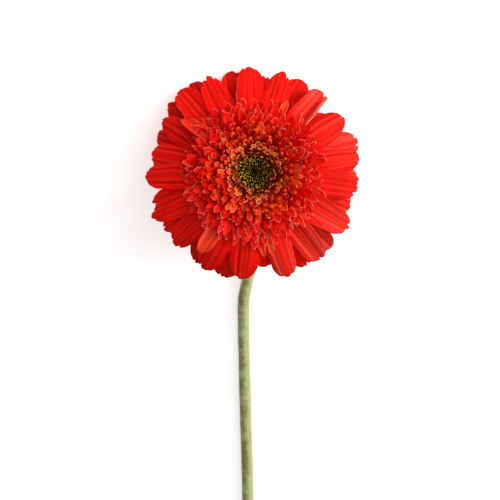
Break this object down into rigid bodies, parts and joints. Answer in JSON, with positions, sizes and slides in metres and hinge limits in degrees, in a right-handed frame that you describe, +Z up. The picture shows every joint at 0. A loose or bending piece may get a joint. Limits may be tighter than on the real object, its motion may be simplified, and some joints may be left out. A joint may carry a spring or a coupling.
{
  "type": "cut gerbera",
  "caption": "Cut gerbera with a dense double head of red petals round a dark green eye, on a short leafless stem, lying down with the head facing up.",
  "frame": {"origin": "middle of the underside of the flower's box, on the surface that it lies on", "axes": "+Z up from the surface, +Y along the lying stem from its cut end towards the head, +X to the right when the head is away from the viewer"},
  "size_m": [0.0988, 0.2796, 0.0509],
  "materials": {
    "ray_petal": null,
    "crest_petal": "orange-red small petals with thin pale pink rims, satin",
    "disc_floret": "orange florets with golden and cream tips, satin",
    "eye_bud": "dark green closed buds with olive tips, matt",
    "bract": null,
    "stem": null
  },
  "bodies": {
    "root": {"ray_outer_01": "ray_petal", "ray_outer_02": "ray_petal", "ray_outer_03": "ray_petal", "ray_outer_04": "ray_petal", "ray_outer_05": "ray_petal", "ray_outer_06": "ray_petal", "ray_outer_07": "ray_petal", "ray_outer_08": "ray_petal", "ray_outer_09": "ray_petal", "ray_outer_10": "ray_petal", "ray_outer_11": "ray_petal", "ray_outer_12": "ray_petal", "ray_outer_13": "ray_petal", "ray_outer_14": "ray_petal", "ray_outer_15": "ray_petal", "ray_outer_16": "ray_petal", "ray_outer_17": "ray_petal", "ray_outer_18": "ray_petal", "ray_inner_01": "ray_petal", "ray_inner_02": "ray_petal", "ray_inner_03": "ray_petal", "ray_inner_04": "ray_petal", "ray_inner_05": "ray_petal", "ray_inner_06": "ray_petal", "ray_inner_07": "ray_petal", "ray_inner_08": "ray_petal", "ray_inner_09": "ray_petal", "ray_inner_10": "ray_petal", "ray_inner_11": "ray_petal", "ray_inner_12": "ray_petal", "ray_inner_13": "ray_petal", "ray_inner_14": "ray_petal", "ray_inner_15": "ray_petal", "ray_inner_16": "ray_petal", "ray_inner_17": "ray_petal", "ray_inner_18": "ray_petal", "crest_row_1": "crest_petal", "crest_row_2": "crest_petal", "crest_row_3": "crest_petal", "crest_row_4": "crest_petal", "disc_row_outer": "disc_floret", "disc_row_inner": "disc_floret", "disc_eye": "eye_bud", "receptacle": "bract", "bracts_inner": "bract", "bracts_outer": "bract", "stem": "stem"}
  },
  "joints": []
}
